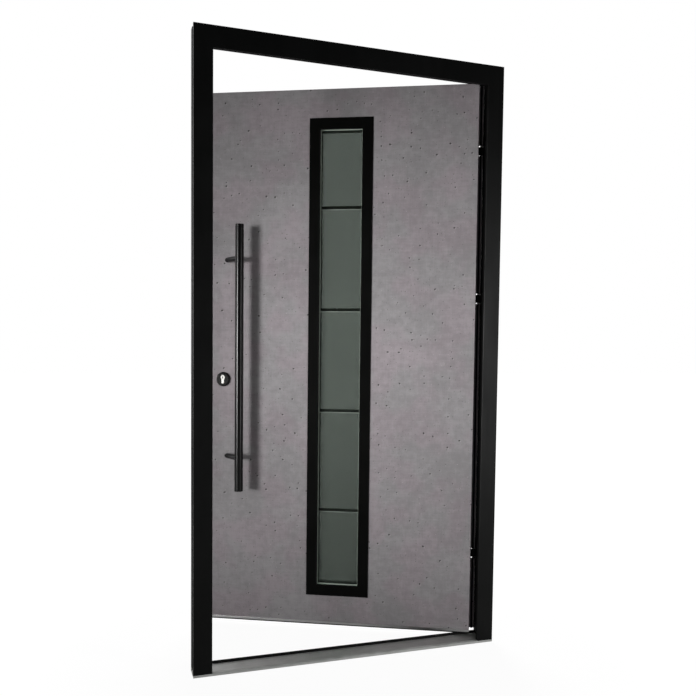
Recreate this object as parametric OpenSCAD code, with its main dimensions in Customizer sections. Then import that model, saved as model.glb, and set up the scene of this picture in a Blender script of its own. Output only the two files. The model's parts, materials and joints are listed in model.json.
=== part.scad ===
// Front door: an inward-opening insulated leaf with a tall narrow light,
// hung on three barrel hinges in a thermally broken aluminium frame.
// Millimetres. +Z up, +X to the right seen from outside, +Y into the house.
// Origin: middle of the threshold's underside.

/* [Frame] */
// Overall width of the frame
frame_w = 1100; // [900:10:1300]
// Overall height of the frame
frame_h = 2100; // [1900:10:2300]
// Depth of the frame, outside face to inside face
frame_d = 65; // [60:1:80]
// Width of the outside face of a jamb
jamb_face = 62; // [56:1:80]
// Height of the outside face of the head
head_face = 70; // [60:1:90]
// How far the outside flange laps in front of the leaf's rebate
rebate = 18; // [14:1:22]
// Depth of the outside flange
flange_d = 14; // [11:1:16]
// Depth of the thermal break
break_d = 20; // [14:1:24]
// Wall thickness of the aluminium profiles
profile_wall = 2; // [1.5:0.1:2.5]
// Chamfer on the long edges of the profiles
profile_chamfer = 1; // [0.5:0.1:1.4]

/* [Threshold] */
// Height of the threshold at its front edge
sill_front_h = 9.5; // [8:0.5:12]
// Height of the sloping tread where it meets the upstand
sill_back_h = 18; // [15:0.5:20]
// Height of the black upstand
upstand_h = 26; // [22:0.5:30]
// Depth of the black upstand
upstand_d = 8; // [6:0.5:10]

/* [Leaf] */
// Distance from the frame's outside face to the leaf's
leaf_setback = 19; // [18:0.5:22]
// How far the leaf's overlap laps past its body, behind the frame
overlap_w = 18; // [15:1:22]
// Thickness of the overlap
overlap_t = 7; // [6:0.5:9]
// Gap between the overlap and the frame's inside face
overlap_gap = 5; // [4:0.5:6]
// Gap round the edge of the leaf
leaf_gap = 5; // [4:0.5:6]
// Thickness of the sheet skins
skin_t = 1.5; // [1:0.1:2]
// Width of the lip that each skin folds over the edge
skin_lip = 10; // [8:0.5:10.5]
// Height of the bare aluminium bar under the outside skin
bottom_bar_h = 8; // [6:0.5:12]
// How far the leaf stands open
leaf_open = 26; // [0:1:95]

/* [Light] */
// Overall width of the black glazing trim
trim_w = 238; // [200:1:300]
// Width of each bar of the glazing trim
trim_face = 40.5; // [34:0.5:50]
// How far the glazing trim stands proud of the leaf
trim_proud = 3; // [2:0.5:4]
// Distance from the leaf's top edge to the trim
trim_top_margin = 105; // [80:1:200]
// Distance from the leaf's bottom edge to the trim
trim_bottom_margin = 110; // [90:1:200]
// How far the trim laps over the edge of the cut-out
trim_lap = 20; // [16:1:24]
// Clearance round the glass in its cut-out
glass_gap = 3; // [2:0.5:4]
// Thickness of each pane
pane_t = 4; // [3:0.5:5]
// Space between panes
pane_space = 12; // [10:0.5:12]
// Width of the spacer bars between panes
spacer_w = 12; // [9:0.5:13]
// Thickness of the rubber between trim and glass
glazing_rubber = 1.5; // [1:0.1:2]
// Distance from the leaf's outside face to the glass
glass_setback = 10; // [8:0.5:12]
// Height of each stripe left between the satin panels
stripe_h = 13; // [8:1:20]
// Height of the top and bottom satin panels that shows
end_panel_h = 278.5; // [220:0.5:340]
// Number of stripes
stripe_count = 4; // [2:1:4]

/* [Pull handle] */
// Length of the bar
bar_l = 1000; // [600:10:1400]
// Diameter of the bar
bar_dia = 32; // [25:1:35]
// Height of the bar's middle above the threshold's underside
bar_mid_z = 1042.5; // [900:0.5:1200]
// Distance from the leaf's lock edge to the bar's axis
bar_inset = 131; // [110:1:200]
// Distance from the leaf's face to the bar's axis
bar_standoff = 60; // [45:1:80]
// Distance between the two posts
post_pitch = 750; // [400:10:900]
// Diameter of the slanting posts
post_dia = 20; // [16:1:24]

/* [Lock] */
// Distance from the leaf's lock edge to the cylinder's axis
backset = 53; // [50:1:65]
// Height of the key plug above the threshold's underside
plug_z = 971; // [900:1:1100]
// Distance from the key plug up to the lever's axis
lever_rise = 92; // [72:1:92]
// Diameter of the cylinder housing's round head
housing_dia = 17; // [16.5:0.1:17.5]
// Overall height of the cylinder housing's outline
housing_h = 33; // [30:0.5:34]
// Width of the cylinder housing's leg
housing_leg = 10; // [9:0.1:10.5]
// Diameter of the key plug
plug_dia = 13; // [12:0.1:14]
// Running clearance round the key plug
plug_clearance = 0.05; // [0.03:0.01:0.1]
// Diameter of the outside escutcheon
escutcheon_dia = 55; // [50:1:60]
// Height of the outside escutcheon
escutcheon_h = 11; // [8:0.5:14]
// Width of the lock's faceplate
faceplate_w = 24; // [20:1:24]
// Thickness of the lock's faceplate
faceplate_t = 3; // [2:0.5:4]

/* [Hinges] */
// Diameter of the hinge barrels
barrel_dia = 20; // [16:0.5:22]
// Clearance round the hinge barrels
hinge_clear = 5; // [4:0.5:6]
// Diameter of the hinge pins
hinge_pin_dia = 10; // [7:0.5:11]
// Length of a hinge's middle knuckle
middle_knuckle = 30; // [24:1:40]
// Length of a hinge's outer knuckles
outer_knuckle = 35; // [28:1:45]
// Distance from the frame's top down to the top hinge
top_hinge_drop = 282; // [220:1:340]
// Distance from the frame's top down to the middle hinge
middle_hinge_drop = 824; // [700:1:900]
// Height of the bottom hinge
bottom_hinge_z = 317; // [200:1:400]

/* [Fixings] */
// Diameter of the frame fixing holes
fixing_dia = 10; // [8:0.5:12]
// Height of the lowest fixing hole
fixing_low_z = 200; // [150:10:300]
// Distance from the frame's top down to the highest fixing hole
fixing_top_drop = 250; // [200:10:300]

/* [Hidden] */
$fn = 64;
over = 1;            // how far a cutting shape runs past what it cuts
black = "#1a1a1a";
silver = "#b4b6b4";
concrete = "#8c898a";
rubber = "#0c0c0c";

// Frame sizes worked out from the ones above; u runs in from the frame's
// outer edge, y runs in from its outside face
inner_d = frame_d - flange_d - break_d;
jamb_body = jamb_face - rebate;
head_body = head_face - rebate;
break_inset = 3;
break_wall = 3;
break_y = flange_d;
inner_y = flange_d + break_d;
gasket_groove = 3;
gasket_inset = 7;
gasket_bulb = 5;

// Leaf sizes, with the leaf shut
leaf_half_w = frame_w / 2 - jamb_body - leaf_gap;
leaf_z0 = upstand_h + leaf_gap;
leaf_z1 = frame_h - head_body - leaf_gap;
leaf_h = leaf_z1 - leaf_z0;
leaf_y0 = leaf_setback;
overlap_y = frame_d + overlap_gap;
leaf_y1 = overlap_y + overlap_t;
overlap_half_w = leaf_half_w + overlap_w;
overlap_z1 = leaf_z1 + overlap_w;
seal_gap = 0.5;
axis_x = overlap_half_w;
axis_y = leaf_y1 + hinge_clear + barrel_dia / 2;

// Light sizes
trim_z0 = leaf_z0 + trim_bottom_margin;
trim_h = leaf_h - trim_bottom_margin - trim_top_margin;
light_mid_z = trim_z0 + trim_h / 2;
hole_w = trim_w - 2 * trim_lap;
hole_h = trim_h - 2 * trim_lap;
sight_w = trim_w - 2 * trim_face;
sight_h = trim_h - 2 * trim_face;
glass_w = hole_w - 2 * glass_gap;
glass_h = hole_h - 2 * glass_gap;
glass_t = 3 * pane_t + 2 * pane_space;
glass_y0 = leaf_y0 + glass_setback;
middle_pane_y = glass_y0 + pane_t + pane_space;
satin_t = 0.4;
stripe_pitch = (sight_h - 2 * end_panel_h - stripe_h) / (stripe_count - 1);

// Lock sizes
lock_x = -leaf_half_w + backset;
housing_rise = housing_h / 2 - housing_dia / 2;
escutcheon_z = plug_z - housing_rise;
inner_escutcheon_h = 9;
housing_proud = 1.5;
housing_y0 = leaf_y0 - escutcheon_h - housing_proud;
housing_y1 = leaf_y1 + inner_escutcheon_h + housing_proud;
hole_clearance = 0.4;
faceplate_foot = 129;
faceplate_drop = 143;
faceplate_z0 = leaf_z0 + faceplate_foot;
faceplate_z1 = leaf_z1 - faceplate_drop;
lock_mid_y = inner_y + inner_d / 2;
latch_h = 30;
latch_below_lever = 8;
latch_nose = 5;
latch_z = plug_z + lever_rise - latch_below_lever;
dead_bolt_h = 36;
dead_bolt_rise = 32;
dead_bolt_nose = 0.8;
dead_bolt_z = plug_z + dead_bolt_rise;
hook_h = 46;
hook_nose = 2;
hook_foot = 140;
hook_drop = 170;
hook_z = [faceplate_z0 + hook_foot, faceplate_z1 - hook_drop];
bolt_gap = 0.5;

// Hinge sizes
ring_t = 2;
ring_proud = 0.5;
knuckle_gap = 0.2;
pin_clearance = 0.05;
barrel_half_l = middle_knuckle / 2 + ring_t + knuckle_gap + outer_knuckle;
top_hinge_z = frame_h - top_hinge_drop;
middle_hinge_z = frame_h - middle_hinge_drop;
hinge_zs = [bottom_hinge_z, middle_hinge_z, top_hinge_z];
knuckle_chamfer = 1.5;
notch_half_h = middle_knuckle / 2 + knuckle_gap + ring_t + 2;
fixing_pitch = (frame_h - fixing_low_z - fixing_top_drop) / 3;

// Places the frame's pieces so that the origin is at mid depth
module set_frame() {
    translate([0, -frame_d / 2, 0]) children();
}

// Swings the leaf's pieces open about the hinge axis
module set_leaf() {
    set_frame()
        translate([axis_x, axis_y, 0])
            rotate([0, 0, -leaf_open])
                translate([-axis_x, -axis_y, 0])
                    children();
}

// A rectangle with chamfered corners, from the origin
module chamfered_rect(w, d, c) {
    polygon([
        [c, 0], [w - c, 0], [w, c], [w, d - c],
        [w - c, d], [c, d], [0, d - c], [0, c]
    ]);
}

// Extrudes a (u, y) profile up the left jamb
module up_left_jamb() {
    translate([-frame_w / 2, 0, 0]) linear_extrude(frame_h) children();
}

// Extrudes a (u, y) profile along the head, with u running down
module along_head() {
    translate([-frame_w / 2, 0, frame_h])
        rotate([0, 90, 0])
            linear_extrude(frame_w) children();
}

// Extrudes a (y, z) profile along the threshold
module along_threshold() {
    translate([-frame_w / 2, 0, 0])
        rotate([90, 0, 90])
            linear_extrude(frame_w) children();
}

// Extrudes an (x, z) outline along Y from y0 to y1
module along_y(y0, y1) {
    translate([0, y1, 0]) rotate([90, 0, 0]) linear_extrude(y1 - y0) children();
}

// One side of the left mitre, on the line through (u0, v0) and (u1, v1),
// where v runs down from the top. A jamb loses what is above it, the head
// what is below
module mitre_waste(u0, v0, u1, v1, above) {
    reach = 3 * (jamb_face + head_face);
    step = reach * [u1 - u0, v1 - v0] / norm([u1 - u0, v1 - v0]);
    a = [u0 - step[0], step[1] - v0];
    b = [u1 + step[0], -v1 - step[1]];
    translate([-frame_w / 2, 0, frame_h])
        along_y(-over, frame_d + over)
            polygon([a, b, above ? [b[0], a[1]] : [a[0], b[1]]]);
}

// A left jamb piece: the profile, cut to its mitre and over the threshold
module left_member(u0, v0, u1, v1) {
    difference() {
        up_left_jamb() children();
        mitre_waste(u0, v0, u1, v1, true);
        along_threshold() threshold_outline();
    }
}

// A head piece: the profile, mitred at both ends
module head_member(u0, v0, u1, v1) {
    difference() {
        along_head() children();
        mitre_waste(u0, v0, u1, v1, false);
        mirror([1, 0, 0]) mitre_waste(u0, v0, u1, v1, false);
    }
}

// Outside shell profile: a chamber behind the body and a lower one in the
// flange, which leaves room for the gasket's groove
module outer_profile(face) {
    web = face - rebate;
    difference() {
        chamfered_rect(face, flange_d, profile_chamfer);
        translate([profile_wall, profile_wall])
            square([web - 1.5 * profile_wall, flange_d - 2 * profile_wall]);
        translate([web + profile_wall / 2, profile_wall])
            square([
                rebate - 1.5 * profile_wall,
                flange_d - 2 * profile_wall - gasket_groove
            ]);
    }
}

// The groove that the gasket's foot sits in, round the jambs and the head
module gasket_track() {
    x = frame_w / 2 - jamb_face + gasket_inset;
    z = frame_h - head_face + gasket_inset;
    g = gasket_groove;
    translate([0, flange_d - g, 0])
        difference() {
            translate([-x - g, 0, -over]) cube([2 * (x + g), g + over, z + g + over]);
            translate([-x, -over, -2 * over]) cube([2 * x, g + 3 * over, z + 2 * over]);
        }
}

// Thermal break profile: two plastic bars joined by a web
module break_profile(body) {
    w = body - 2 * break_inset;
    translate([break_inset, break_y]) difference() {
        square([w, break_d]);
        translate([break_wall, break_wall])
            square([w / 2 - 1.5 * break_wall, break_d - 2 * break_wall]);
        translate([w / 2 + break_wall / 2, break_wall])
            square([w / 2 - 1.5 * break_wall, break_d - 2 * break_wall]);
    }
}

// Inside shell profile: one chamber
module inner_profile(body) {
    translate([0, inner_y]) difference() {
        chamfered_rect(body, inner_d, profile_chamfer);
        translate([profile_wall, profile_wall])
            square([body - 2 * profile_wall, inner_d - 2 * profile_wall]);
    }
}

// Fixing holes through both walls of the inside shell
module fixing_holes() {
    for (i = [0:3])
        translate([
            -frame_w / 2 - over,
            inner_y + inner_d / 2,
            fixing_low_z + i * fixing_pitch
        ])
            rotate([0, 90, 0])
                cylinder(d = fixing_dia, h = jamb_body + 2 * over);
}

module left_outer() {
    color(black)
        difference() {
            left_member(0, 0, jamb_face, head_face) outer_profile(jamb_face);
            gasket_track();
        }
}

module left_break() {
    color(rubber)
        left_member(break_inset, break_inset,
                    jamb_body - break_inset, head_body - break_inset)
            break_profile(jamb_body);
}

module left_inner() {
    color(black)
        difference() {
            left_member(0, 0, jamb_body, head_body) inner_profile(jamb_body);
            fixing_holes();
        }
}

module lock_jamb_inner() {
    color(black)
        difference() {
            left_inner();
            for (s = strikes)
                strike_blank(s[0], s[1]);
        }
}

module head_outer() {
    color(black)
        difference() {
            head_member(0, 0, jamb_face, head_face) outer_profile(head_face);
            gasket_track();
        }
}

module head_break() {
    color(rubber)
        head_member(break_inset, break_inset,
                    jamb_body - break_inset, head_body - break_inset)
            break_profile(head_body);
}

module head_inner() {
    color(black)
        head_member(0, 0, jamb_body, head_body) inner_profile(head_body);
}

// Threshold outline in (y, z), with its sloping tread and its upstand
tread_d = frame_d - upstand_d;
nose_chamfer = 1.5;
nose_groove_y = 5;
nose_groove_w = 2.2;
nose_groove_depth = 1.2;
tread_wall = 2.5;
module threshold_outline() {
    polygon([
        [-over, -over], [-over, sill_front_h - nose_chamfer / 2],
        [0, sill_front_h - nose_chamfer],
        [nose_chamfer, sill_front_h],
        [tread_d, sill_back_h],
        [tread_d, upstand_h - nose_chamfer], [tread_d + nose_chamfer, upstand_h],
        [frame_d - nose_chamfer, upstand_h], [frame_d, upstand_h - nose_chamfer],
        [frame_d + over, upstand_h - nose_chamfer], [frame_d + over, -over]
    ]);
}

module tread_profile() {
    slope = (sill_back_h - sill_front_h) / (tread_d - nose_chamfer);
    top = sill_front_h - slope * nose_chamfer;
    mid = tread_d / 2;
    difference() {
        polygon([
            [0, 0], [0, sill_front_h - nose_chamfer],
            [nose_chamfer, sill_front_h], [tread_d, sill_back_h], [tread_d, 0]
        ]);
        translate([nose_groove_y, top + slope * nose_groove_y - nose_groove_depth])
            square([nose_groove_w, nose_groove_depth + over]);
        for (c = [[tread_wall, mid - tread_wall / 2], [mid + tread_wall / 2, tread_d - tread_wall]])
            polygon([
                [c[0], tread_wall], [c[0], top - tread_wall + slope * c[0]],
                [c[1], top - tread_wall + slope * c[1]], [c[1], tread_wall]
            ]);
    }
}

module threshold_tread() {
    color(silver) along_threshold() tread_profile();
}

module threshold_upstand() {
    color(rubber) along_threshold()
        polygon([
            [tread_d, 0], [tread_d, upstand_h - nose_chamfer],
            [tread_d + nose_chamfer, upstand_h],
            [frame_d - nose_chamfer, upstand_h],
            [frame_d, upstand_h - nose_chamfer], [frame_d, 0]
        ]);
}

// Gasket section: a foot in the groove and a bulb that meets the leaf
module gasket_profile(face) {
    groove_u = face - gasket_inset - gasket_groove;
    bulb_d = leaf_y0 - flange_d - seal_gap;
    translate([groove_u, flange_d - gasket_groove])
        square([gasket_groove, gasket_groove + over]);
    translate([groove_u + gasket_groove / 2 - gasket_bulb / 2, flange_d])
        chamfered_rect(gasket_bulb, bulb_d, 1);
}

module frame_gasket() {
    u0 = jamb_face - gasket_inset - gasket_groove / 2;
    v0 = head_face - gasket_inset - gasket_groove / 2;
    color(rubber) {
        for (m = [0, 1])
            mirror([m, 0, 0])
                left_member(u0, v0, u0 + 1, v0 + 1) gasket_profile(jamb_face);
        head_member(u0, v0, u0 + 1, v0 + 1) gasket_profile(head_face);
    }
}

// Strike plates sit flush in the lock jamb: [middle height, length]
strike_w = 22;
strike_y = lock_mid_y - strike_w / 2;
hook_strike_h = 120;
main_strike_h = 230;
main_strike_rise = 50;
strikes = [
    [hook_z[0], hook_strike_h],
    [plug_z + main_strike_rise, main_strike_h],
    [hook_z[1], hook_strike_h]
];

// Slots in the strikes, with room above, below and beside each bolt
slot_w = 12;
latch_slot_room = 10;
dead_bolt_slot_room = 8;
hook_slot_room = 14;
module strike_blank(z, length) {
    translate([-frame_w / 2 + jamb_body - profile_wall, strike_y, z - length / 2])
        cube([profile_wall + over, strike_w, length]);
}

module bolt_slot(z, length, w) {
    translate([
        -frame_w / 2 + jamb_body - profile_wall - over,
        lock_mid_y - w / 2,
        z - length / 2
    ])
        cube([profile_wall + 2 * over, w, length]);
}

module strike_plates() {
    color(silver)
        intersection() {
            difference() {
                for (s = strikes) strike_blank(s[0], s[1]);
                bolt_slot(latch_z, latch_h + latch_slot_room, slot_w);
                bolt_slot(dead_bolt_z, dead_bolt_h + dead_bolt_slot_room, slot_w);
                for (z = hook_z) bolt_slot(z, hook_h + hook_slot_room, slot_w);
            }
            translate([-frame_w / 2, 0, 0]) cube([jamb_body, frame_d, frame_h]);
        }
}

// One barrel hinge: the frame carries the outer knuckles on arms that stand
// beside the overlap, the leaf carries the middle one
hinge_plate_t = 4;
hinge_plate_r = 4;
leaf_plate_w = 36;
arm_x = axis_x + hinge_clear;
arm_w = barrel_dia / 2 - hinge_clear + 2;
arm_setdown = 5;
frame_plate_w = frame_w / 2 - 4 - arm_x;
module knuckle(z0, z1) {
    translate([axis_x, axis_y, z0]) cylinder(d = barrel_dia, h = z1 - z0);
}

module rounded_plate(x0, y0, w, z) {
    r = hinge_plate_r;
    translate([x0, y0 + hinge_plate_t, z])
        rotate([90, 0, 0])
            linear_extrude(hinge_plate_t)
                offset(r = r)
                    translate([r, r - barrel_half_l])
                        square([w - 2 * r, 2 * (barrel_half_l - r)]);
}

module pin_hole(z, clearance) {
    translate([axis_x, axis_y, z - barrel_half_l - over])
        cylinder(d = hinge_pin_dia + 2 * clearance, h = 2 * (barrel_half_l + over));
}

// An outer knuckle, chamfered at its far end, with its arm to the frame plate
module outer_knuckle_arm() {
    near = middle_knuckle / 2 + ring_t + knuckle_gap;
    straight = outer_knuckle - knuckle_chamfer;
    knuckle(near, near + straight);
    translate([axis_x, axis_y, near + straight])
        cylinder(d1 = barrel_dia, d2 = barrel_dia - 2 * knuckle_chamfer, h = knuckle_chamfer);
    translate([arm_x, frame_d, near])
        cube([arm_w, axis_y - frame_d, outer_knuckle - arm_setdown]);
}

module hinge_frame_part(z) {
    color(black)
        difference() {
            union() {
                rounded_plate(arm_x, frame_d, frame_plate_w, z);
                translate([0, 0, z]) {
                    outer_knuckle_arm();
                    mirror([0, 0, 1]) outer_knuckle_arm();
                }
            }
            pin_hole(z, 0);
        }
}

module hinge_leaf_part(z) {
    half = middle_knuckle / 2;
    plate_x1 = axis_x - barrel_dia / 2 - hinge_clear;
    color(black)
        difference() {
            union() {
                rounded_plate(plate_x1 - leaf_plate_w, leaf_y1, leaf_plate_w, z);
                translate([plate_x1 - leaf_plate_w / 2, leaf_y1, z - half])
                    cube([axis_x - plate_x1 + leaf_plate_w / 2, hinge_plate_t, 2 * half]);
                translate([axis_x - barrel_dia / 2, leaf_y1, z - half])
                    cube([barrel_dia / 2, axis_y - leaf_y1, 2 * half]);
                knuckle(z - half, z + half);
            }
            pin_hole(z, pin_clearance);
        }
}

module hinge_pins() {
    color(silver)
        for (z = hinge_zs)
            translate([axis_x, axis_y, z - barrel_half_l])
                cylinder(d = hinge_pin_dia, h = 2 * barrel_half_l);
}

// Pale bearing rings either side of each middle knuckle
module hinge_rings() {
    color("white")
        for (z = hinge_zs)
            for (s = [-1, 1])
                translate([
                    axis_x, axis_y,
                    z + s * (middle_knuckle / 2 + knuckle_gap + ring_t / 2) - ring_t / 2
                ])
                    difference() {
                        cylinder(d = barrel_dia + 2 * ring_proud, h = ring_t);
                        translate([0, 0, -over])
                            cylinder(d = hinge_pin_dia, h = ring_t + 2 * over);
                    }
}

// A box in the leaf, centred on x = 0, from (y0, z0) to (y1, z1)
module leaf_box(w, y0, y1, z0, z1) {
    translate([-w / 2, y0, z0]) cube([w, y1 - y0, z1 - z0]);
}

module light_box(w, h, y0, y1) {
    leaf_box(w, y0, y1, light_mid_z - h / 2, light_mid_z + h / 2);
}

// Outline of the cylinder housing, its head on the origin
module housing_outline(grow) {
    circle(d = housing_dia + 2 * grow);
    leg = housing_leg / 2 + grow;
    drop = housing_h - housing_dia / 2 - housing_leg / 2;
    translate([-leg, -drop]) square([2 * leg, drop]);
    translate([0, -drop]) circle(r = leg);
}

module housing_hole() {
    translate([lock_x, 0, plug_z])
        along_y(-frame_d, 3 * frame_d) housing_outline(hole_clearance);
}

// Notches in the overlap behind the hinges' middle knuckles
module hinge_notches() {
    for (z = hinge_zs)
        translate([leaf_half_w, frame_d, z - notch_half_h])
            cube([overlap_w + over, leaf_y1 - frame_d + over, 2 * notch_half_h]);
}

// Outside sheet, folded back over the leaf's edges
module outer_skin() {
    z0 = leaf_z0 + bottom_bar_h;
    color(concrete)
        difference() {
            leaf_box(2 * leaf_half_w, leaf_y0, leaf_y0 + skin_lip, z0, leaf_z1);
            leaf_box(2 * (leaf_half_w - skin_t), leaf_y0 + skin_t, leaf_y0 + skin_lip + over,
                     z0 + skin_t, leaf_z1 - skin_t);
            light_box(hole_w, hole_h, leaf_y0 - over, leaf_y0 + skin_t + over);
            housing_hole();
        }
}

// Inside sheet, folded round the overlap and back to the leaf's body
module inner_skin() {
    color(concrete)
        difference() {
            leaf_box(2 * overlap_half_w, overlap_y, leaf_y1, leaf_z0, overlap_z1);
            leaf_box(2 * (overlap_half_w - skin_t), overlap_y + skin_t, leaf_y1 - skin_t,
                     leaf_z0 + skin_t, overlap_z1 - skin_t);
            leaf_box(2 * leaf_half_w, overlap_y - over, overlap_y + skin_t,
                     leaf_z0 - over, leaf_z1);
            light_box(hole_w, hole_h, overlap_y - over, leaf_y1 + over);
            hinge_notches();
            housing_hole();
        }
}

// Insulating core with the black edge band that shows between the skins
module leaf_core() {
    color(rubber)
        difference() {
            union() {
                leaf_box(2 * (leaf_half_w - skin_t), leaf_y0 + skin_t, overlap_y,
                         leaf_z0 + bottom_bar_h + skin_t, leaf_z1 - skin_t);
                leaf_box(2 * leaf_half_w, leaf_y0 + skin_lip, overlap_y + skin_t,
                         leaf_z0, leaf_z1);
                leaf_box(2 * (overlap_half_w - skin_t), overlap_y + skin_t, leaf_y1 - skin_t,
                         leaf_z0 + skin_t, overlap_z1 - skin_t);
            }
            light_box(hole_w, hole_h, -over, leaf_y1 + over);
            hinge_notches();
            faceplate_blank(0);
            bolt_pocket(latch_z, latch_h);
            bolt_pocket(dead_bolt_z, dead_bolt_h);
            for (z = hook_z) bolt_pocket(z, hook_h);
            housing_hole();
        }
}

// Bare aluminium bar that closes the outside of the leaf's bottom edge
module bottom_bar() {
    color(silver)
        leaf_box(2 * leaf_half_w, leaf_y0, leaf_y0 + skin_lip,
                 leaf_z0, leaf_z0 + bottom_bar_h);
}

// Rubber round the overlap that meets the frame's inside face
overlap_seal_w = 6;
overlap_seal_inset = 2;
module overlap_seal() {
    x = leaf_half_w + leaf_gap + overlap_seal_inset;
    z = leaf_z1 + leaf_gap + overlap_seal_inset;
    difference() {
        leaf_box(2 * (x + overlap_seal_w), frame_d + seal_gap, overlap_y,
                 leaf_z0, z + overlap_seal_w);
        leaf_box(2 * x, frame_d, overlap_y + over, leaf_z0 - over, z);
        hinge_notches();
    }
}

// Bottom seal: a drip lip at the front and a fin over the threshold's upstand
drip_lip_w = 2;
drip_lip_h = 4;
seal_base_t = 1.5;
seal_slope = 2;
module bottom_seal() {
    lip_y = leaf_y0 + 1;
    fin_h = leaf_gap - seal_gap;
    fin_y1 = frame_d - 1;
    translate([-leaf_half_w, 0, leaf_z0])
        rotate([90, 0, 90])
            linear_extrude(2 * leaf_half_w)
                polygon([
                    [lip_y, 0], [lip_y, -drip_lip_h], [lip_y + drip_lip_w, -drip_lip_h],
                    [lip_y + drip_lip_w + seal_slope, -seal_base_t],
                    [tread_d - seal_slope, -seal_base_t], [tread_d, -fin_h], [fin_y1, -fin_h],
                    [fin_y1 + seal_slope, -seal_base_t], [fin_y1 + seal_slope, 0]
                ]);
}

module leaf_seals() {
    color(rubber) {
        overlap_seal();
        bottom_seal();
    }
}

// Glazing trim: a flat rim on the leaf and a bead down to the glass
module trim_ring(bead) {
    difference() {
        union() {
            light_box(trim_w, trim_h, -trim_proud, 0);
            light_box(hole_w - 2, hole_h - 2, 0, bead);
        }
        light_box(sight_w, sight_h, -trim_proud - over, bead + over);
    }
}

outer_bead = glass_y0 - leaf_y0 - glazing_rubber;
inner_bead = leaf_y1 - glass_y0 - glass_t - glazing_rubber;
module outer_trim() {
    color(black) translate([0, leaf_y0, 0]) trim_ring(outer_bead);
}

module inner_trim() {
    color(black)
        translate([0, leaf_y1, 0]) mirror([0, 1, 0]) trim_ring(inner_bead);
}

module rubber_ring(y) {
    difference() {
        light_box(glass_w, glass_h, y, y + glazing_rubber);
        light_box(sight_w + 4, sight_h + 4, y - over, y + glazing_rubber + over);
    }
}

module glazing_rubbers() {
    color(rubber) {
        rubber_ring(glass_y0 - glazing_rubber);
        rubber_ring(glass_y0 + glass_t);
    }
}

module pane(y) {
    light_box(glass_w, glass_h, y, y + pane_t);
}

module outer_pane() {
    color("#b0c4b8", 0.35) pane(glass_y0);
}

module middle_pane() {
    color("#b0c4b8", 0.35) pane(middle_pane_y);
}

module inner_pane() {
    color("#b0c4b8", 0.35) pane(glass_y0 + glass_t - pane_t);
}

module spacer_ring(y) {
    inset = 2;
    difference() {
        light_box(glass_w - 2 * inset, glass_h - 2 * inset, y, y + pane_space);
        light_box(glass_w - 2 * inset - 2 * spacer_w, glass_h - 2 * inset - 2 * spacer_w,
                  y - over, y + pane_space + over);
    }
}

module glass_spacers() {
    color(silver) {
        spacer_ring(glass_y0 + pane_t);
        spacer_ring(middle_pane_y + pane_t);
    }
}

// Satin panels on the middle pane, with the clear stripes between them
module satin_panels() {
    w = glass_w - 4 - 2 * spacer_w - 1;
    h = glass_h - 4 - 2 * spacer_w - 1;
    color("#5c6259")
        difference() {
            light_box(w, h, middle_pane_y - satin_t, middle_pane_y);
            for (i = [0:stripe_count - 1])
                leaf_box(
                    w + 2 * over, middle_pane_y - satin_t - over, middle_pane_y + over,
                    light_mid_z + (i - (stripe_count - 1) / 2) * stripe_pitch - stripe_h / 2,
                    light_mid_z + (i - (stripe_count - 1) / 2) * stripe_pitch + stripe_h / 2
                );
        }
}

// Faceplate let into the lock edge
module faceplate_blank(grow) {
    translate([-leaf_half_w - over * grow, lock_mid_y - faceplate_w / 2, faceplate_z0])
        cube([faceplate_t + over * grow, faceplate_w, faceplate_z1 - faceplate_z0]);
}

bolt_w = 11;
bolt_depth = 26;
module bolt_pocket(z, length) {
    translate([-leaf_half_w - over, lock_mid_y - bolt_w / 2 - bolt_gap, z - length / 2 - bolt_gap])
        cube([
            faceplate_t + bolt_depth + over,
            bolt_w + 2 * bolt_gap,
            length + 2 * bolt_gap
        ]);
}

module lock_faceplate() {
    color(silver)
        difference() {
            faceplate_blank(0);
            bolt_pocket(latch_z, latch_h);
            bolt_pocket(dead_bolt_z, dead_bolt_h);
            for (z = hook_z) bolt_pocket(z, hook_h);
        }
}

// Bolts drawn back into the leaf, with their noses at the faceplate
module bolt(z, length, nose) {
    translate([-leaf_half_w, lock_mid_y - bolt_w / 2, z - length / 2])
        linear_extrude(length)
            polygon([
                [nose, 0], [0, nose], [0, bolt_w],
                [faceplate_t + bolt_depth, bolt_w], [faceplate_t + bolt_depth, 0]
            ]);
}

module lock_bolts() {
    color(silver) {
        bolt(latch_z, latch_h, latch_nose);
        bolt(dead_bolt_z, dead_bolt_h, dead_bolt_nose);
        for (z = hook_z) bolt(z, hook_h, hook_nose);
    }
}

// Pull handle: bar and 45 degree posts
bar_x = -leaf_half_w + bar_inset;
bar_y = leaf_y0 - bar_standoff;
bar_chamfer = 1.2;
module pull_bar() {
    r = bar_dia / 2;
    color(black)
        translate([bar_x, bar_y, bar_mid_z - bar_l / 2])
            rotate_extrude()
                polygon([
                    [0, 0], [r - bar_chamfer, 0], [r, bar_chamfer],
                    [r, bar_l - bar_chamfer], [r - bar_chamfer, bar_l], [0, bar_l]
                ]);
}

module post(z) {
    color(black)
        difference() {
            translate([bar_x, bar_y, z])
                rotate([90, 0, -135])
                    mirror([0, 0, 1])
                        translate([0, 0, -bar_standoff * sqrt(2) - post_dia])
                            cylinder(d = post_dia, h = bar_standoff * sqrt(2) + post_dia);
            translate([bar_x, bar_y, bar_mid_z - bar_l / 2])
                cylinder(d = bar_dia, h = bar_l);
            translate([-frame_w, leaf_y0, z - post_dia])
                cube([2 * frame_w, frame_d, 2 * post_dia]);
        }
}

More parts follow.
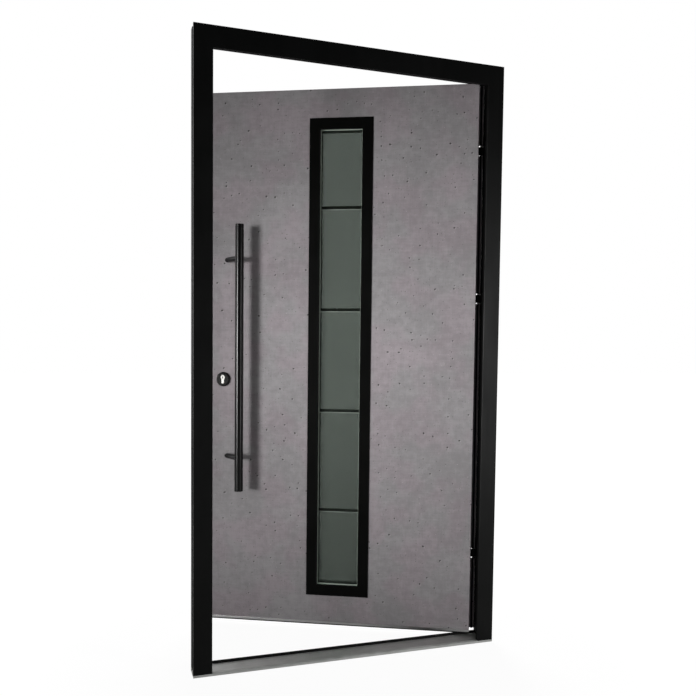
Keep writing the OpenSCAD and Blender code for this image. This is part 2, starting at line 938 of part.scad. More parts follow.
// Outside escutcheon: a disc with a raised cone and the housing's hole
module outer_escutcheon() {
    rim = 4;
    top_dia = escutcheon_dia - 11;
    color(black)
        difference() {
            translate([lock_x, leaf_y0, escutcheon_z])
                rotate([90, 0, 0]) {
                    cylinder(d = escutcheon_dia, h = rim);
                    translate([0, 0, rim])
                        cylinder(d1 = escutcheon_dia - 2, d2 = top_dia, h = escutcheon_h - rim);
                }
            housing_hole();
        }
}

module inner_escutcheon() {
    color(black)
        difference() {
            translate([lock_x, leaf_y1, escutcheon_z]) rotate([-90, 0, 0]) rose(inner_escutcheon_h);
            housing_hole();
        }
}

// Cylinder housing with the blind bore that the key plug turns in
plug_l = 28;
module lock_cylinder() {
    color(silver)
        difference() {
            translate([lock_x, 0, plug_z])
                along_y(housing_y0, housing_y1) housing_outline(0);
            translate([lock_x, housing_y0 - over, plug_z])
                rotate([-90, 0, 0])
                    cylinder(d = plug_dia + 2 * plug_clearance, h = plug_l + over + 0.3);
            translate([lock_x - keyway_w / 2, housing_y1 - keyway_l, plug_z - keyway_h / 2])
                cube([keyway_w, keyway_l + over, keyway_h]);
        }
}

keyway_w = 2.4;
keyway_h = 9;
keyway_l = 24;
module key_plug() {
    color(silver)
        difference() {
            translate([lock_x, housing_y0, plug_z])
                rotate([-90, 0, 0]) cylinder(d = plug_dia, h = plug_l);
            translate([lock_x - keyway_w / 2, housing_y0 - over, plug_z - keyway_h / 2])
                cube([keyway_w, keyway_l + over, keyway_h]);
        }
}

// Inside lever: a neck on its rose, a bend and a straight grip
rose_dia = 52;
rose_h = 9;
rose_chamfer = 1.5;
grip_dia = 20;
grip_l = 125;
grip_standoff = 55;
grip_bend = 16;
module rose(h) {
    cylinder(d = rose_dia, h = h - rose_chamfer);
    translate([0, 0, h - rose_chamfer])
        cylinder(d1 = rose_dia, d2 = rose_dia - 2 * rose_chamfer, h = rose_chamfer);
}

module lever_rose() {
    color(black)
        translate([lock_x, leaf_y1, plug_z + lever_rise]) rotate([-90, 0, 0]) rose(rose_h);
}

module lever() {
    neck_l = grip_standoff - rose_h - grip_bend;
    color(black)
        translate([lock_x, leaf_y1 + rose_h, plug_z + lever_rise]) {
            rotate([-90, 0, 0]) cylinder(d = grip_dia, h = neck_l);
            translate([grip_bend, neck_l, 0])
                rotate([0, 0, 90])
                    rotate_extrude(angle = 90)
                        translate([grip_bend, 0]) circle(d = grip_dia);
            translate([grip_bend, neck_l + grip_bend, 0])
                rotate([0, 90, 0]) {
                    cylinder(d = grip_dia, h = grip_l - grip_bend - rose_chamfer);
                    translate([0, 0, grip_l - grip_bend - rose_chamfer])
                        cylinder(d1 = grip_dia, d2 = grip_dia - 2 * rose_chamfer,
                                 h = rose_chamfer);
                }
        }
}

set_frame() left_outer();  // left_jamb_outer
set_frame() left_break();  // left_jamb_break
set_frame() lock_jamb_inner();  // left_jamb_inner
set_frame() mirror([1, 0, 0]) left_outer();  // right_jamb_outer
set_frame() mirror([1, 0, 0]) left_break();  // right_jamb_break
set_frame() mirror([1, 0, 0]) left_inner();  // right_jamb_inner
set_frame() head_outer();
set_frame() head_break();
set_frame() head_inner();
set_frame() threshold_tread();
set_frame() threshold_upstand();
set_frame() frame_gasket();
set_frame() strike_plates();
set_frame() hinge_frame_part(top_hinge_z);  // top_hinge_frame_part
set_frame() hinge_frame_part(middle_hinge_z);  // middle_hinge_frame_part
set_frame() hinge_frame_part(bottom_hinge_z);  // bottom_hinge_frame_part
set_frame() hinge_pins();
set_frame() hinge_rings();
set_leaf() outer_skin();
set_leaf() inner_skin();
set_leaf() leaf_core();
set_leaf() bottom_bar();
set_leaf() leaf_seals();
set_leaf() outer_trim();
set_leaf() inner_trim();
set_leaf() glazing_rubbers();
set_leaf() outer_pane();
set_leaf() middle_pane();
set_leaf() inner_pane();
set_leaf() glass_spacers();
set_leaf() satin_panels();
set_leaf() lock_faceplate();
set_leaf() lock_bolts();
set_leaf() hinge_leaf_part(top_hinge_z);  // top_hinge_leaf_part
set_leaf() hinge_leaf_part(middle_hinge_z);  // middle_hinge_leaf_part
set_leaf() hinge_leaf_part(bottom_hinge_z);  // bottom_hinge_leaf_part
set_leaf() pull_bar();
set_leaf() post(bar_mid_z + post_pitch / 2);  // upper_post
set_leaf() post(bar_mid_z - post_pitch / 2);  // lower_post
set_leaf() outer_escutcheon();
set_leaf() inner_escutcheon();
set_leaf() lock_cylinder();
set_leaf() lever_rose();
set_leaf() lever();
set_leaf() key_plug();
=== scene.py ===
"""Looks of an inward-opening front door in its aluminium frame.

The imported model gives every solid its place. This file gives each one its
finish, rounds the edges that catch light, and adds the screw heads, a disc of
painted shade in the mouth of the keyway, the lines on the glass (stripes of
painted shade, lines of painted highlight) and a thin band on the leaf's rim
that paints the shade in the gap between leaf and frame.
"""

import json
import logging
import math
from dataclasses import dataclass
from enum import Enum
from typing import Any, Iterable

import bmesh
import bpy
from mathutils import Matrix, Vector


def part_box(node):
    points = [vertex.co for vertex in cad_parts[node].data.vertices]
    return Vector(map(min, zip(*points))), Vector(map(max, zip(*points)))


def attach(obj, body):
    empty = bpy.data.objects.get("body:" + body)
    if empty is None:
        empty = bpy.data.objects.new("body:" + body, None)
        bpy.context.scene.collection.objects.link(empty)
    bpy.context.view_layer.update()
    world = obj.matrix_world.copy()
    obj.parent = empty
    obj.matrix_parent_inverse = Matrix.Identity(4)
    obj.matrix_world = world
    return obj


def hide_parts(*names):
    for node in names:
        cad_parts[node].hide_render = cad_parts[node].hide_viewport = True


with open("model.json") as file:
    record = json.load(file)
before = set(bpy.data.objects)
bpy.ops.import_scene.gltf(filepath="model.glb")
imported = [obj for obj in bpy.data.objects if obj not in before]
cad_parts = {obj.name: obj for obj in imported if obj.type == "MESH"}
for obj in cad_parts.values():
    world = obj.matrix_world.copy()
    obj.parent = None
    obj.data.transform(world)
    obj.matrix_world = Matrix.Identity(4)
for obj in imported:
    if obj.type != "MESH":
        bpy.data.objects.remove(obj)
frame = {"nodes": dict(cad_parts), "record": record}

log = logging.getLogger("front_door")

MM = 0.001
SMOOTH_UNDER = math.radians(32.0)
FLAT_UNDER = math.radians(0.6)
SAME_POINT = 0.002 * MM
LEVEL_DIGITS = 5
QUARTER_TURN = math.pi / 2
WHITE = (1.0, 1.0, 1.0)
MEAN = 0.5

Span = tuple[float, float, float]
Pair = tuple[float, float]


class Wire:
    """A node socket that takes part in expressions."""

    def __init__(self, graph: "Graph", socket: bpy.types.NodeSocket | None) -> None:
        """Keep the socket and the graph that it belongs to."""
        self.graph = graph
        self.socket = socket

    def _math(self, operation: str, *values: Any) -> "Wire":
        """Add one Math node.

        Args:
            operation: The Math node's operation.
            *values: Its inputs, as numbers or wires.

        Returns:
            The node's value.
        """
        settings = {"operation": operation}
        return self.graph.add("ShaderNodeMath", settings, dict(enumerate(values)))

    def __add__(self, other: Any) -> "Wire":
        """Sum."""
        return self._math("ADD", self, other)

    def __radd__(self, other: Any) -> "Wire":
        """Sum, number first."""
        return self._math("ADD", other, self)

    def __sub__(self, other: Any) -> "Wire":
        """Difference."""
        return self._math("SUBTRACT", self, other)

    def __rsub__(self, other: Any) -> "Wire":
        """Difference, number first."""
        return self._math("SUBTRACT", other, self)

    def __mul__(self, other: Any) -> "Wire":
        """Product."""
        return self._math("MULTIPLY", self, other)

    def __truediv__(self, other: Any) -> "Wire":
        """Quotient."""
        return self._math("DIVIDE", self, other)

    def clamped(self) -> "Wire":
        """The value held between 0 and 1."""
        return self._math("MINIMUM", self._math("MAXIMUM", self, 0.0), 1.0)

    def swing(self, width: float) -> "Wire":
        """A noise value as a change about 0, width wide in all."""
        return (self - MEAN) * width

    def ramp(self, low: float, high: float) -> "Wire":
        """Smooth step from 0 at low to 1 at high.

        Args:
            low: The value that gives 0.
            high: The value that gives 1. It may lie under low.

        Returns:
            The stepped value.
        """
        inputs = {"Value": self, "From Min": low, "From Max": high, "To Min": 0.0, "To Max": 1.0}
        return self.graph.add("ShaderNodeMapRange", {"interpolation_type": "SMOOTHSTEP"}, inputs)


@dataclass(frozen=True)
class Noise:
    """One layer of cloudy noise.

    Its scale counts features per metre, its detail octaves, rough says how
    much the fine octaves weigh, and twist how far they are bent.
    """

    scale: float
    detail: float = 3.0
    rough: float = 0.5
    twist: float = 0.0


class Graph:
    """A material's or the world's node tree, built through one method."""

    def __init__(self, tree: bpy.types.NodeTree) -> None:
        """Clear the tree and keep it."""
        self.tree = tree
        tree.nodes.clear()

    def add(
        self,
        kind: str,
        settings: dict[str, Any] | None = None,
        inputs: dict[Any, Any] | None = None,
        output: Any = 0,
    ) -> Wire:
        """Add any node.

        Args:
            kind: The node's type name.
            settings: Properties that are set first.
            inputs: Values or wires by input name or index.
            output: The output that is returned, by name or index.

        Returns:
            The chosen output.
        """
        node = self.tree.nodes.new(kind)
        for name, value in (settings or {}).items():
            setattr(node, name, value)
        for name, value in (inputs or {}).items():
            socket = node.inputs[name]
            if isinstance(value, Wire):
                self.tree.links.new(value.socket, socket)
            elif isinstance(value, tuple) and len(value) == 3 and socket.type == "RGBA":
                socket.default_value = (*value, 1.0)
            else:
                socket.default_value = value
        return Wire(self, node.outputs[output] if node.outputs else None)

    def place(
        self,
        scale: Span = (1.0, 1.0, 1.0),
        turn: float = 0.0,
        offset: Span = (0.0, 0.0, 0.0),
    ) -> Wire:
        """Object coordinates, turned about Z, scaled and shifted.

        Args:
            scale: Scale along each axis after the turn.
            turn: Angle about Z in radians.
            offset: Shift after the scale.

        Returns:
            The coordinates.
        """
        here = self.add("ShaderNodeTexCoord", output="Object")
        turned = {"Vector": here, "Rotation": (0.0, 0.0, turn)}
        placed = {"Vector": self.add("ShaderNodeMapping", inputs=turned)}
        placed |= {"Scale": scale, "Location": offset}
        return self.add("ShaderNodeMapping", inputs=placed)

    def sheet(
        self, turn: float, scale: Pair = (1.0, 1.0), offset: Pair = (0.0, 0.0)
    ) -> Wire:
        """Flat coordinates on an upright panel: across it and up it.

        Args:
            turn: The panel's angle about Z in radians.
            scale: Scale across and up.
            offset: Shift after the scale.

        Returns:
            The coordinates, with Z at 0.
        """
        at = self.place((scale[0], 1.0, scale[1]), turn, (offset[0], 0.0, offset[1]))
        across = self.add("ShaderNodeSeparateXYZ", inputs={0: at}, output="X")
        up = self.add("ShaderNodeSeparateXYZ", inputs={0: at}, output="Z")
        return self.add("ShaderNodeCombineXYZ", inputs={"X": across, "Y": up})

    def noise(self, at: Wire, layer: Noise, output: str = "Fac") -> Wire:
        """Cloudy noise between 0 and 1.

        Args:
            at: Coordinates.
            layer: What the noise is like.
            output: "Fac" for a value, "Color" for three at once.

        Returns:
            The noise.
        """
        inputs = {"Vector": at, "Scale": layer.scale, "Detail": layer.detail}
        inputs |= {"Roughness": layer.rough, "Distortion": layer.twist}
        return self.add("ShaderNodeTexNoise", inputs=inputs, output=output)

    def blend(self, factor: Any, a: Any, b: Any, mode: str = "MIX") -> Wire:
        """Mix two colours.

        Args:
            factor: How much of the second.
            a: First colour.
            b: Second colour.
            mode: Blend mode.

        Returns:
            The mixed colour.
        """
        settings = {"data_type": "RGBA", "blend_type": mode}
        return self.add("ShaderNodeMix", settings, {"Factor": factor, 6: a, 7: b}, output=2)

    def bump(self, height: Wire, depth: float, strength: float = 1.0) -> Wire:
        """A normal from a height.

        Args:
            height: Height between 0 and 1.
            depth: Depth in metres of a height of 1.
            strength: How much of the bump shows.

        Returns:
            The normal.
        """
        inputs = {"Height": height, "Distance": depth, "Strength": strength}
        return self.add("ShaderNodeBump", inputs=inputs)

    def direct(self) -> Wire:
        """1 where the eye looks straight or through glass, else 0."""
        kinds = ("Is Camera Ray", "Is Transmission Ray")
        seen, passed = (self.add("ShaderNodeLightPath", output=kind) for kind in kinds)
        return seen + passed

    def mirrored(self) -> Wire:
        """1 where the eye looks by way of a gloss, else 0."""
        return self.add("ShaderNodeLightPath", output="Is Glossy Ray")


@dataclass
class LeafSpace:
    """The leaf's own frame: where its pieces would be if it were shut."""

    pivot: Vector
    opened: float

    @classmethod
    def from_record(cls) -> "LeafSpace":
        """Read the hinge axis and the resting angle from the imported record."""
        joints = {joint["name"]: joint for joint in frame["record"]["behaviour"]["joints"]}
        swing = joints["leaf_swing"]
        return cls(Vector(swing["pos_m"]), math.radians(-swing["range_deg"][0]))

    def to_world(self) -> Matrix:
        """The move that swings a shut leaf's piece to where it rests."""
        away = Matrix.Translation(self.pivot)
        return away @ Matrix.Rotation(-self.opened, 4, "Z") @ away.inverted()

    def swung(self, shape: bmesh.types.BMesh) -> bmesh.types.BMesh:
        """The shape itself, moved from the shut leaf to where the leaf rests."""
        bmesh.ops.transform(shape, matrix=self.to_world(), verts=shape.verts)
        return shape

    def points(self, node: str) -> list[Vector]:
        """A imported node's points with the leaf shut."""
        back = self.to_world().inverted()
        return [back @ vertex.co for vertex in frame["nodes"][node].data.vertices]

    def box(self, node: str) -> tuple[Vector, Vector]:
        """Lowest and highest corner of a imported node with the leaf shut.

        Args:
            node: Node name.

        Returns:
            The two corners.
        """
        points = self.points(node)
        low = Vector(min(point[axis] for point in points) for axis in range(3))
        high = Vector(max(point[axis] for point in points) for axis in range(3))
        return low, high


LEAF = LeafSpace.from_record()


def levels(points: Iterable[Vector]) -> list[float]:
    """The different heights among the points, lowest first."""
    return sorted({round(point.z, LEVEL_DIGITS) for point in points})


@dataclass(frozen=True)
class Finish:
    """A surface finish that makes its own material."""

    name: str
    slot: str

    def material(self) -> bpy.types.Material:
        """The finish's material, made once."""
        label = f"{self.name}_finish"
        made = bpy.data.materials.get(label)
        if made is None:
            made = bpy.data.materials.new(label)
            made.use_nodes = True
            graph = Graph(made.node_tree)
            graph.add("ShaderNodeOutputMaterial", inputs={"Surface": self.surface(graph)})
        return made

    def surface(self, graph: Graph) -> Wire:
        """The finish's shader. Each kind of finish gives its own."""
        raise NotImplementedError


@dataclass(frozen=True)
class Coat(Finish):
    """Satin powder coat or paint with a fine orange-peel grain."""

    colour: Span
    rough: float = 0.45
    gloss: float = 0.3
    grain: Noise = Noise(900.0, 2.0)
    grain_depth: float = 0.04 * MM
    uneven: float = 0.25
    lift: float = 0.0008
    patch: Noise = Noise(6.0, 4.0, 0.6)
    patch_edges: Pair = (0.35, 0.7)
    wipe: Noise = Noise(40.0)
    wipe_stretch: Span = (1.0, 1.0, 0.15)
    wipe_width: float = 0.16

    def surface(self, graph: Graph) -> Wire:
        """Paint with faint wipe marks and a grain."""
        at = graph.place()
        patch = graph.noise(at, self.patch).ramp(*self.patch_edges)
        wipe = graph.noise(graph.place(self.wipe_stretch), self.wipe)
        lighter = tuple(min(1.0, c * (1.0 + self.uneven) + self.lift) for c in self.colour)
        return graph.add(
            "ShaderNodeBsdfPrincipled",
            inputs={
                "Base Color": graph.blend(patch, self.colour, lighter),
                "Roughness": self.rough + wipe.swing(self.wipe_width),
                "Specular IOR Level": self.gloss,
                "Normal": graph.bump(graph.noise(at, self.grain), self.grain_depth),
            },
        )


@dataclass(frozen=True)
class Metal(Finish):
    """Bare metal with fine lines along one axis."""

    colour: Span
    rough: float = 0.3
    lines: Span = (2.0, 900.0, 900.0)
    turn: float = 0.0
    line: Noise = Noise(1.0, 3.0, 0.6)
    line_share: float = 0.6
    line_width: float = 0.2
    line_depth: float = 0.03 * MM
    line_strength: float = 0.5
    patch: Noise = Noise(14.0, 3.0, 0.6)
    patch_share: float = 0.4
    patch_width: float = 0.1
    mark_edges: Pair = (0.3, 0.7)
    dulled: float = 0.78

    def surface(self, graph: Graph) -> Wire:
        """Metal with brushed lines, dulled in patches."""
        line = graph.noise(graph.place(self.lines, self.turn), self.line)
        patch = graph.noise(graph.place(), self.patch)
        dark = tuple(c * self.dulled for c in self.colour)
        mark = (line * self.line_share + patch * self.patch_share).ramp(*self.mark_edges)
        rough = self.rough + line.swing(self.line_width) + patch.swing(self.patch_width)
        return graph.add(
            "ShaderNodeBsdfPrincipled",
            inputs={
                "Base Color": graph.blend(mark, dark, self.colour),
                "Metallic": 1.0,
                "Roughness": rough.clamped(),
                "Normal": graph.bump(line, self.line_depth, self.line_strength),
            },
        )


@dataclass(frozen=True)
class Layer:
    """A noise laid on the leaf's face, and its share in the concrete's tone."""

    noise: Noise
    share: float
    scale: Pair = (1.0, 1.0)
    offset: Pair = (0.0, 0.0)

    def on_leaf(self, graph: Graph) -> Wire:
        """The noise in the leaf's flat coordinates."""
        return graph.noise(graph.sheet(LEAF.opened, self.scale, self.offset), self.noise)


@dataclass(frozen=True)
class Dots:
    """Sparse ragged dots on the leaf's face.

    There are cells per metre, of which a share holds a dot, and shift says
    where their layout starts. Paint and relief say how much a dot counts in
    the colour and in the height.
    """

    cells: float
    radius: float
    share: float
    shift: Pair
    paint: float
    relief: float
    wander: Noise = Noise(7.0, 0.0)
    wander_reach: float = 0.06
    ragged: Noise = Noise(700.0, 2.0)
    ragged_width: float = 0.8
    size_least: float = 0.5
    size_range: float = 0.75
    outer: float = 1.25
    inner: float = 0.6
    share_edge: float = 0.97

    def on_leaf(self, graph: Graph) -> Wire:
        """1 inside a dot and 0 outside."""
        flat = graph.sheet(LEAF.opened, offset=self.shift)
        reach = (self.wander_reach, self.wander_reach, 0.0)
        moved = {0: graph.noise(flat, self.wander, "Color"), 1: reach, 2: flat}
        at = graph.add("ShaderNodeVectorMath", {"operation": "MULTIPLY_ADD"}, moved)
        settings = {"voronoi_dimensions": "2D", "feature": "F1", "distance": "EUCLIDEAN"}
        inputs = {"Vector": at, "Scale": self.cells, "Randomness": 1.0}
        away = graph.add("ShaderNodeTexVoronoi", settings, inputs, "Distance")
        pick = graph.add("ShaderNodeTexVoronoi", settings, inputs, "Color")
        chance = graph.add("ShaderNodeSeparateColor", inputs={"Color": pick}, output="Red")
        size = graph.add("ShaderNodeSeparateColor", inputs={"Color": pick}, output="Green")
        wide = self.radius * self.cells
        ragged = graph.noise(at, self.ragged).swing(wide * self.ragged_width)
        edge = (away + ragged) / (size * self.size_range + self.size_least)
        held = chance.ramp(self.share, self.share * self.share_edge)
        return edge.ramp(wide * self.outer, wide * self.inner) * held


@dataclass(frozen=True)
class Concrete(Finish):
    """Matte coat that looks like cast concrete, with pits, specks and trowel lines."""

    pale: Span = (0.345, 0.322, 0.333)
    deep: Span = (0.262, 0.245, 0.252)
    # painted shade: near black put into the pits and pin holes, where shade falls in the hollows
    pit_shade: Span = (0.05, 0.045, 0.045)
    # the pale specks' own colour, also used for the painted highlight beside each pit
    speck_and_highlight: Span = (0.52, 0.5, 0.5)
    pink: Span = (1.02, 0.98, 1.0)
    green: Span = (0.975, 1.0, 0.99)
    clouds: Layer = Layer(Noise(2.6, 4.0, 0.55, 0.5), 0.34)
    mottle: Layer = Layer(Noise(34.0, 4.0, 0.6), 0.3)
    level: Layer = Layer(Noise(1.0, 3.0, 0.6), 0.11, (14.0, 150.0))
    upright: Layer = Layer(Noise(1.0, 3.0, 0.6), 0.1, (170.0, 16.0), (5.0, 3.0))
    sand: Layer = Layer(Noise(380.0, 2.0, 0.7), 0.15)
    tint: Layer = Layer(Noise(7.0, 2.0), 1.0, offset=(4.0, 9.0))
    pits: Dots = Dots(30.0, 2.7 * MM, 0.26, (0.0, 0.0), 0.95, -0.9)
    # pale dots set to one side of the pits: a painted highlight on the rim that faces the light
    lit_lips: Dots = Dots(30.0, 2.3 * MM, 0.26, (-3.6 * MM, 3.0 * MM), 0.34, 0.1)
    pins: Dots = Dots(85.0, 1.3 * MM, 0.2, (0.31, 0.17), 0.5, -0.4)
    specks: Dots = Dots(48.0, 1.4 * MM, 0.14, (0.73, 0.41), 0.42, 0.1)
    tone_edges: Pair = (0.4, 0.6)
    tint_edges: Pair = (0.42, 0.6)
    tone_relief: float = 0.3
    sand_relief: float = 0.1
    depth: float = 0.5 * MM
    strength: float = 0.6
    rough: float = 0.66
    rough_width: float = 0.2
    gloss: float = 0.12

    def surface(self, graph: Graph) -> Wire:
        """Clouds, crossed trowel lines, pits in painted shade with a painted highlight beside
        each, and pale specks.
        """
        layers = (self.clouds, self.mottle, self.level, self.upright, self.sand)
        laid = [layer.on_leaf(graph) for layer in layers]
        tone, *others = (wire * layer.share for wire, layer in zip(laid, layers))
        for other in others:
            tone = tone + other
        _, mottle, _, _, sand = laid
        dots = (self.specks, self.lit_lips, self.pits, self.pins)
        specks, lit_lips, pits, pins = spread = [kind.on_leaf(graph) for kind in dots]
        tint = self.tint.on_leaf(graph).ramp(*self.tint_edges)
        base = graph.blend(tone.ramp(*self.tone_edges), self.deep, self.pale)
        base = graph.blend(1.0, base, graph.blend(tint, self.green, self.pink), "MULTIPLY")
        # painted highlight beside the pits, mixed with the real pale specks
        pale = lit_lips * self.lit_lips.paint + specks * self.specks.paint
        # painted shade in the pits and pin holes
        dark = pits * self.pits.paint + pins * self.pins.paint
        base = graph.blend(pale.clamped(), base, self.speck_and_highlight)
        base = graph.blend(dark.clamped(), base, self.pit_shade)
        height = tone * self.tone_relief + sand * self.sand_relief
        for kind, wire in zip(dots, spread):
            height = height + wire * kind.relief
        return graph.add(
            "ShaderNodeBsdfPrincipled",
            inputs={
                "Base Color": base,
                "Roughness": self.rough + mottle.swing(self.rough_width),
                "Specular IOR Level": self.gloss,
                "Normal": graph.bump(height, self.depth, self.strength),
            },
        )


@dataclass(frozen=True)
class SatinGlass(Finish):
    """Etched glass face: grey-green, letting a little of what is behind through."""

    colour: Span = (0.03, 0.036, 0.029)
    edge: Span = (0.018, 0.022, 0.017)
    cover: float = 0.68
    # denser at the bottom: painted shade on the lower part of the glass
    shaded_foot_cover: float = 0.76
    cover_width: float = 0.01
    shade_heights: Pair = (1.3, 0.1)
    rough: float = 0.42
    gloss: float = 0.4
    cloud: Noise = Noise(4.0)
    cloud_stretch: Pair = (1.0, 0.4)
    cloud_edges: Pair = (0.3, 0.7)
    etch: Noise = Noise(1400.0, 1.0)
    etch_width: float = 0.1
    etch_depth: float = 0.02 * MM
    etch_strength: float = 0.4

    def surface(self, graph: Graph) -> Wire:
        """Etched face with a faint cloud, denser towards the bottom as painted shade on its lower
        part.
        """
        cloud = graph.noise(graph.sheet(LEAF.opened, self.cloud_stretch), self.cloud)
        etch = graph.noise(graph.place(), self.etch)
        height = graph.add("ShaderNodeSeparateXYZ", inputs={0: graph.place()}, output="Z")
        # painted shade: more cover, so darker, towards the bottom
        foot_shade_cover = height.ramp(*self.shade_heights) * (self.shaded_foot_cover - self.cover)
        mixed = graph.blend(cloud.ramp(*self.cloud_edges), self.edge, self.colour)
        return graph.add(
            "ShaderNodeBsdfPrincipled",
            inputs={
                "Base Color": mixed,
                "Roughness": self.rough + etch.swing(self.etch_width),
                "Specular IOR Level": self.gloss,
                "Alpha": self.cover + foot_shade_cover + cloud.swing(self.cover_width),
                "Normal": graph.bump(etch, self.etch_depth, self.etch_strength),
            },
        )


@dataclass(frozen=True)
class ClearGlass(Finish):
    """Clear pane: see-through, with a reflection that grows at a slant."""

    tint: Span = (0.955, 0.98, 0.96)
    body: Span = (0.02, 0.03, 0.025)
    rough: float = 0.02
    smear: Noise = Noise(7.0)
    smear_stretch: Span = (1.0, 1.0, 0.3)
    smear_rough: float = 0.04
    slant: float = 0.12
    slant_share: float = 0.5
    least_share: float = 0.03

    def surface(self, graph: Graph) -> Wire:
        """Transparent tint under a gloss."""
        smear = graph.noise(graph.place(self.smear_stretch), self.smear)
        slant = graph.add("ShaderNodeLayerWeight", inputs={"Blend": self.slant}, output="Fresnel")
        clear = graph.add("ShaderNodeBsdfTransparent", inputs={"Color": self.tint})
        rough = self.rough + smear * self.smear_rough
        inputs = {"Base Color": self.body, "Roughness": rough}
        gloss = graph.add("ShaderNodeBsdfPrincipled", inputs=inputs)
        share = (slant * self.slant_share + self.least_share).clamped()
        return graph.add("ShaderNodeMixShader", inputs={0: share, 1: clear, 2: gloss})


@dataclass(frozen=True)
class Rubber(Finish):
    """Matte seal rubber or plastic with a bloom of dust."""

    colour: Span = (0.004, 0.004, 0.004)
    rough: float = 0.75
    gloss: float = 0.15
    bloom: Noise = Noise(30.0, 3.0, 0.6)
    bloom_edges: Pair = (0.45, 0.75)
    bloom_width: float = 0.15
    dust: float = 0.004
    grain: Noise = Noise(1200.0, 2.0)
    grain_depth: float = 0.03 * MM

    def surface(self, graph: Graph) -> Wire:
        """Dull black with a light bloom."""
        at = graph.place()
        bloom = graph.noise(at, self.bloom)
        dusty = tuple(c + self.dust for c in self.colour)
        return graph.add(
            "ShaderNodeBsdfPrincipled",
            inputs={
                "Base Color": graph.blend(bloom.ramp(*self.bloom_edges), self.colour, dusty),
                "Roughness": self.rough + bloom.swing(self.bloom_width),
                "Specular IOR Level": self.gloss,
                "Normal": graph.bump(graph.noise(at, self.grain), self.grain_depth),
            },
        )


class Finishes(Enum):
    """Every finish on the door."""

    FRAME = Coat(
        "frame_powder_coat", "black_powder_coat", (0.0026, 0.0028, 0.0027), rough=0.42, gloss=0.16
    )
    TRIM = Coat("trim_black", "black_trim", (0.0016, 0.0017, 0.0015), rough=0.4, gloss=0.05)
    HANDLE = Coat(
        "handle_black", "handle_black", (0.0022, 0.0021, 0.002),
        rough=0.22, gloss=0.3, grain_depth=0.006 * MM,
    )
    ESCUTCHEON = Coat(
        "escutcheon_black", "handle_black", (0.005, 0.005, 0.0046), rough=0.26, gloss=0.3
    )
    HINGE = Coat("hinge_black", "hinge_black", (0.0025, 0.0025, 0.0025), rough=0.42, gloss=0.1)
    BREAK = Rubber("thermal_break_plastic", "thermal_break", (0.005, 0.005, 0.005), rough=0.6)
    SILL = Rubber("sill_plastic", "black_sill_plastic", (0.004, 0.004, 0.004), rough=0.55)
    # the seals' own black, also the painted shade of the band on the leaf's rim
    SEAL_AND_GAP_SHADE = Rubber("seal_rubber", "seal_rubber")
    # the leaf core's own dark colour, also the painted shade in the keyway's mouth
    CORE_AND_KEYWAY_SHADE = Rubber("edge_band_and_keyway_shade", "core", (0.005, 0.005, 0.005), rough=0.6)
    CONCRETE = Concrete("concrete_coat", "concrete_coat")
    THRESHOLD = Metal("threshold_aluminium", "bare_aluminium", (0.8, 0.81, 0.79), rough=0.56)
    LEAF_BAR = Metal(
        "leaf_bar_aluminium", "bare_aluminium", (0.66, 0.66, 0.65), rough=0.32, turn=LEAF.opened
    )
    STEEL = Metal(
        "lock_steel", "lock_steel", (0.52, 0.52, 0.5), rough=0.3, lines=(900.0, 900.0, 3.0)
    )
    PIN = Metal("pin_steel", "lock_steel", (0.5, 0.5, 0.5), rough=0.25, lines=(600.0, 600.0, 60.0))
    SCREW = Metal(
        "screw_black_zinc", "hinge_black", (0.06, 0.06, 0.062),
        rough=0.32, lines=(500.0, 500.0, 500.0),
    )
    NICKEL = Metal(
        "cylinder_nickel", "cylinder_nickel", (0.62, 0.61, 0.58),
        rough=0.36, lines=(300.0, 300.0, 300.0),
    )
    SPACER = Metal("spacer_aluminium", "spacer", (0.55, 0.56, 0.55), rough=0.4)
    RING = Coat(
        "bearing_ring", "bearing_ring", (0.75, 0.75, 0.73), rough=0.35, gloss=0.5, uneven=0.05
    )
    SATIN = SatinGlass("satin_glass", "satin_film")
    # painted shade: stands in for the dark that clear stripes would show behind the door
    STRIPE_SHADE = Coat("stripe_painted_shade", "satin_film", (0.0035, 0.0042, 0.003), rough=0.3, gloss=0.3)
    # painted highlight: pale lines along the stripes' lower edges and just inside the trim
    HIGHLIGHT_LINE = Coat(
        "glass_painted_highlight", "spacer", (0.78, 0.8, 0.76), rough=0.4, gloss=0.4, uneven=0.05
    )
    CLEAR = ClearGlass("clear_glass", "clear_glass")


def dress(nodes: Iterable[str], finish: Finishes) -> None:
    """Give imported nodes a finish.

    Args:
        nodes: Node names.
        finish: The finish that they all take.
    """
    for name in nodes:
        solid = frame["nodes"][name]
        solid.data.materials.clear()
        solid.data.materials.append(finish.value.material())


def finished(
    name: str,
    shape: bmesh.types.BMesh,
    finish: Finishes,
    body: str,
    easings: Iterable[bmesh.types.BMFace] = (),
) -> bpy.types.Object:
    """Turn a shape into a piece that rides on a body.

    Args:
        name: Piece name.
        shape: The shape, already in its place. It is freed.
        finish: Its finish.
        body: The body that it rides on.
        easings: Faces of its eased edges, shaded apart from the flats beside them.

    Returns:
        The piece.
    """
    strips = set(easings)
    for face in shape.faces:
        face.smooth = True
    for edge in shape.edges:
        strip_count = sum(face in strips for face in edge.link_faces)
        gentle = len(edge.link_faces) == 2 and edge.calc_face_angle(0.0) < SMOOTH_UNDER
        edge.smooth = gentle and strip_count != 1
    mesh = bpy.data.meshes.new(name)
    shape.to_mesh(mesh)
    shape.free()
    mesh.materials.append(finish.value.material())
    made = bpy.data.objects.new(name, mesh)
    bpy.context.scene.collection.objects.link(made)
    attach(made, body)
    return made


